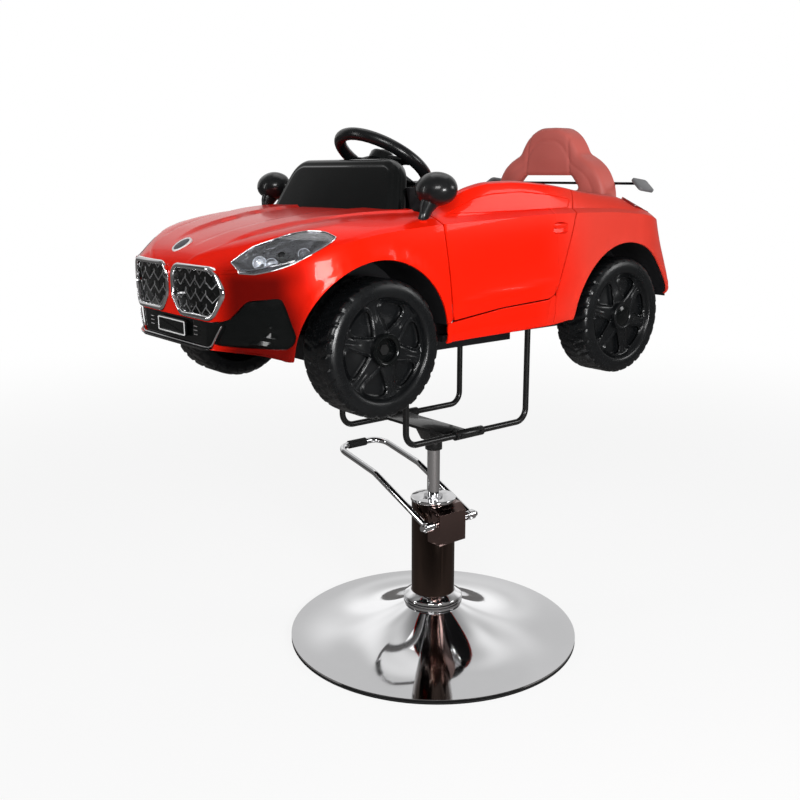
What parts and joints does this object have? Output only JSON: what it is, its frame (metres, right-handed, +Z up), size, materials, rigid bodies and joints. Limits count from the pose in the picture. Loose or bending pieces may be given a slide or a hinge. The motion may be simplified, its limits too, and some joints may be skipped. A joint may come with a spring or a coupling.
{
  "type": "kids car barber chair",
  "caption": "Child's salon seat: a red ride-on roadster with doors and steering, on a tube frame and a foot-pumped hydraulic column with a round chrome base.",
  "frame": {"origin": "floor level under the pump axis, at the centre of the round base", "axes": "+Z up, -X the way the car faces, -Y the car's left side, where the pedal shaft sits"},
  "size_m": [1.0169, 0.6, 1.045],
  "materials": {
    "base_chrome": "mirror chrome plate",
    "edge_rubber": "matt black rubber edging",
    "bolts": "zinc plated",
    "stiffener": "cast, painted",
    "collar_chrome": "mirror chrome plate",
    "cylinder_chrome": "dark mirror chrome plate",
    "barrel_steel": "bored steel casting",
    "pump_chrome": "chrome plated casting",
    "bush_bronze": "turned bronze",
    "ram_chrome": "ground and plated",
    "lever_chrome": "mirror chrome plate",
    "pump_steel": "ground steel",
    "grip_rubber": "matt black rubber sleeve",
    "frame_paint": "satin black powder coat",
    "chassis_plastic": "grained black plastic",
    "body_paint": "metallic red paint on moulded plastic",
    "axle_steel": "zinc plated",
    "wheel_plastic": "black plastic, moulded tread",
    "screen_gloss": "gloss black plastic",
    "dash_plastic": "grained black plastic",
    "button_plastic": "gloss plastic",
    "steering_plastic": "satin black plastic",
    "horn_plastic": "gloss black plastic",
    "lens_clear": "clear moulded lens",
    "bowl_silver": "metallised plastic",
    "grille_black": "gloss black plastic",
    "grille_chrome": "chrome plated plastic look",
    "plate_black": "gloss black, bare",
    "badge_blank": "plain silver disc",
    "mirror_plastic": "gloss black plastic",
    "seat_plastic": "satin red moulded plastic",
    "wing_plastic": "gloss black plastic",
    "wing_end_plastic": "grey satin plastic",
    "tail_lamp_red": "dark red lens"
  },
  "bodies": {
    "stand": {"base_dish": "base_chrome", "base_edge_trim": "edge_rubber", "base_bolts": "bolts", "base_stiffener": "stiffener", "column_collar": "collar_chrome", "pump_cylinder": "cylinder_chrome", "pump_barrel": "barrel_steel", "pump_head": "pump_chrome", "ram_bush": "bush_bronze", "pump_housing": "pump_chrome"},
    "pedal": {"lever_shaft": "pump_steel", "foot_lever": "lever_chrome", "lever_grip": "grip_rubber"},
    "plunger": {"pump_plunger": "pump_steel"},
    "ram": {"ram_rod": "ram_chrome"},
    "car": {"hub_socket": "frame_paint", "cross_plate": "frame_paint", "u_tube_left": "frame_paint", "u_tube_right": "frame_paint", "tube_sleeves": "frame_paint", "foot_plates": "frame_paint", "chassis_tray": "chassis_plastic", "cockpit_tub": "chassis_plastic", "arch_liners": "chassis_plastic", "front_body": "body_paint", "rear_body": "body_paint", "sill_panels": "body_paint", "door_pins": "axle_steel", "front_beam": "axle_steel", "rear_axle": "axle_steel", "rear_axle_nuts": "axle_steel", "windscreen": "screen_gloss", "dashboard": "dash_plastic", "headlight_lenses": "lens_clear", "headlight_bowls": "bowl_silver", "bumper_vents": "grille_black", "bumper_grille": "grille_black", "grille_frames": "grille_chrome", "grille_meshes": "grille_black", "number_plate": "plate_black", "badge_disc": "badge_blank", "side_mirrors": "mirror_plastic", "seat_base": "seat_plastic", "seat_back": "seat_plastic", "wing_blade": "wing_plastic", "wing_ends": "wing_end_plastic", "tail_lamps": "tail_lamp_red"},
    "door_left": {"door_left": "body_paint"},
    "door_right": {"door_right": "body_paint"},
    "steering": {"steering_wheel": "steering_plastic", "steering_column": "axle_steel"},
    "horn": {"horn_button": "horn_plastic"},
    "power_button": {"power_button": "button_plastic"},
    "knuckle_left": {"knuckle_left": "axle_steel"},
    "knuckle_right": {"knuckle_right": "axle_steel"},
    "tie_rod": {"tie_rod": "axle_steel"},
    "wheel_front_left": {"wheel_front_left": "wheel_plastic"},
    "wheel_front_right": {"wheel_front_right": "wheel_plastic"},
    "wheel_rear_left": {"wheel_rear_left": "wheel_plastic"},
    "wheel_rear_right": {"wheel_rear_right": "wheel_plastic"}
  },
  "joints": [
    {"name": "lift", "type": "slide", "parent": "stand", "child": "ram", "axis": [0, 0, 1], "range_m": [-0.07, 0.08]},
    {"name": "swivel", "type": "hinge", "parent": "ram", "child": "car", "pos_m": [0, 0, 0.41], "axis": [0, 0, 1], "continuous": true},
    {"name": "pedal", "type": "hinge", "parent": "stand", "child": "pedal", "pos_m": [0, -0.05, 0.262], "axis": [-1, 0, 0], "range_deg": [0, 25], "stiffness_Nm_per_rad": 4, "springref_deg": -45.84},
    {"name": "pump_stroke", "type": "slide", "parent": "stand", "child": "plunger", "axis": [0, 0, -1], "range_m": [0, 0.009]},
    {"name": "steering", "type": "hinge", "parent": "car", "child": "steering", "pos_m": [-0.127, 0, 0.975], "axis": [0.5373, 0, 0.8434], "range_deg": [-48, 48]},
    {"name": "horn_press", "type": "slide", "parent": "steering", "child": "horn", "axis": [-0.5373, 0, -0.8434], "range_m": [0, 0.002], "stiffness_N_per_m": 500, "springref_m": -0.002},
    {"name": "power_press", "type": "slide", "parent": "car", "child": "power_button", "axis": [-0.7926, 0, -0.6097], "range_m": [0, 0.002], "stiffness_N_per_m": 500, "springref_m": -0.002},
    {"name": "kingpin_left", "type": "hinge", "parent": "car", "child": "knuckle_left", "pos_m": [-0.328, -0.176, 0.683], "axis": [0, 0, 1], "range_deg": [-16.5, 16.5]},
    {"name": "kingpin_right", "type": "hinge", "parent": "car", "child": "knuckle_right", "pos_m": [-0.328, 0.176, 0.683], "axis": [0, 0, 1], "range_deg": [-16.5, 16.5]},
    {"name": "tie_rod_slide", "type": "slide", "parent": "car", "child": "tie_rod", "axis": [0, 1, 0], "range_m": [-0.0115, 0.0115]},
    {"name": "door_left_hinge", "type": "hinge", "parent": "car", "child": "door_left", "pos_m": [-0.186, -0.254, 0.77], "axis": [0, 0, -1], "range_deg": [0, 60]},
    {"name": "door_right_hinge", "type": "hinge", "parent": "car", "child": "door_right", "pos_m": [-0.186, 0.254, 0.77], "axis": [0, 0, 1], "range_deg": [0, 60]},
    {"name": "wheel_front_left_spin", "type": "hinge", "parent": "knuckle_left", "child": "wheel_front_left", "pos_m": [-0.328, -0.224, 0.683], "axis": [0, 1, 0], "continuous": true},
    {"name": "wheel_front_right_spin", "type": "hinge", "parent": "knuckle_right", "child": "wheel_front_right", "pos_m": [-0.328, 0.224, 0.683], "axis": [0, 1, 0], "continuous": true},
    {"name": "wheel_rear_left_spin", "type": "hinge", "parent": "car", "child": "wheel_rear_left", "pos_m": [0.256, -0.224, 0.683], "axis": [0, 1, 0], "continuous": true},
    {"name": "wheel_rear_right_spin", "type": "hinge", "parent": "car", "child": "wheel_rear_right", "pos_m": [0.256, 0.224, 0.683], "axis": [0, 1, 0], "continuous": true}
  ],
  "couplings": [
    {"joint": "pump_stroke", "follows": "pedal", "m_per_rad": 0.02},
    {"joint": "kingpin_left", "follows": "steering", "ratio": 0.33333},
    {"joint": "kingpin_right", "follows": "steering", "ratio": 0.33333},
    {"joint": "tie_rod_slide", "follows": "steering", "m_per_rad": 0.013333}
  ]
}
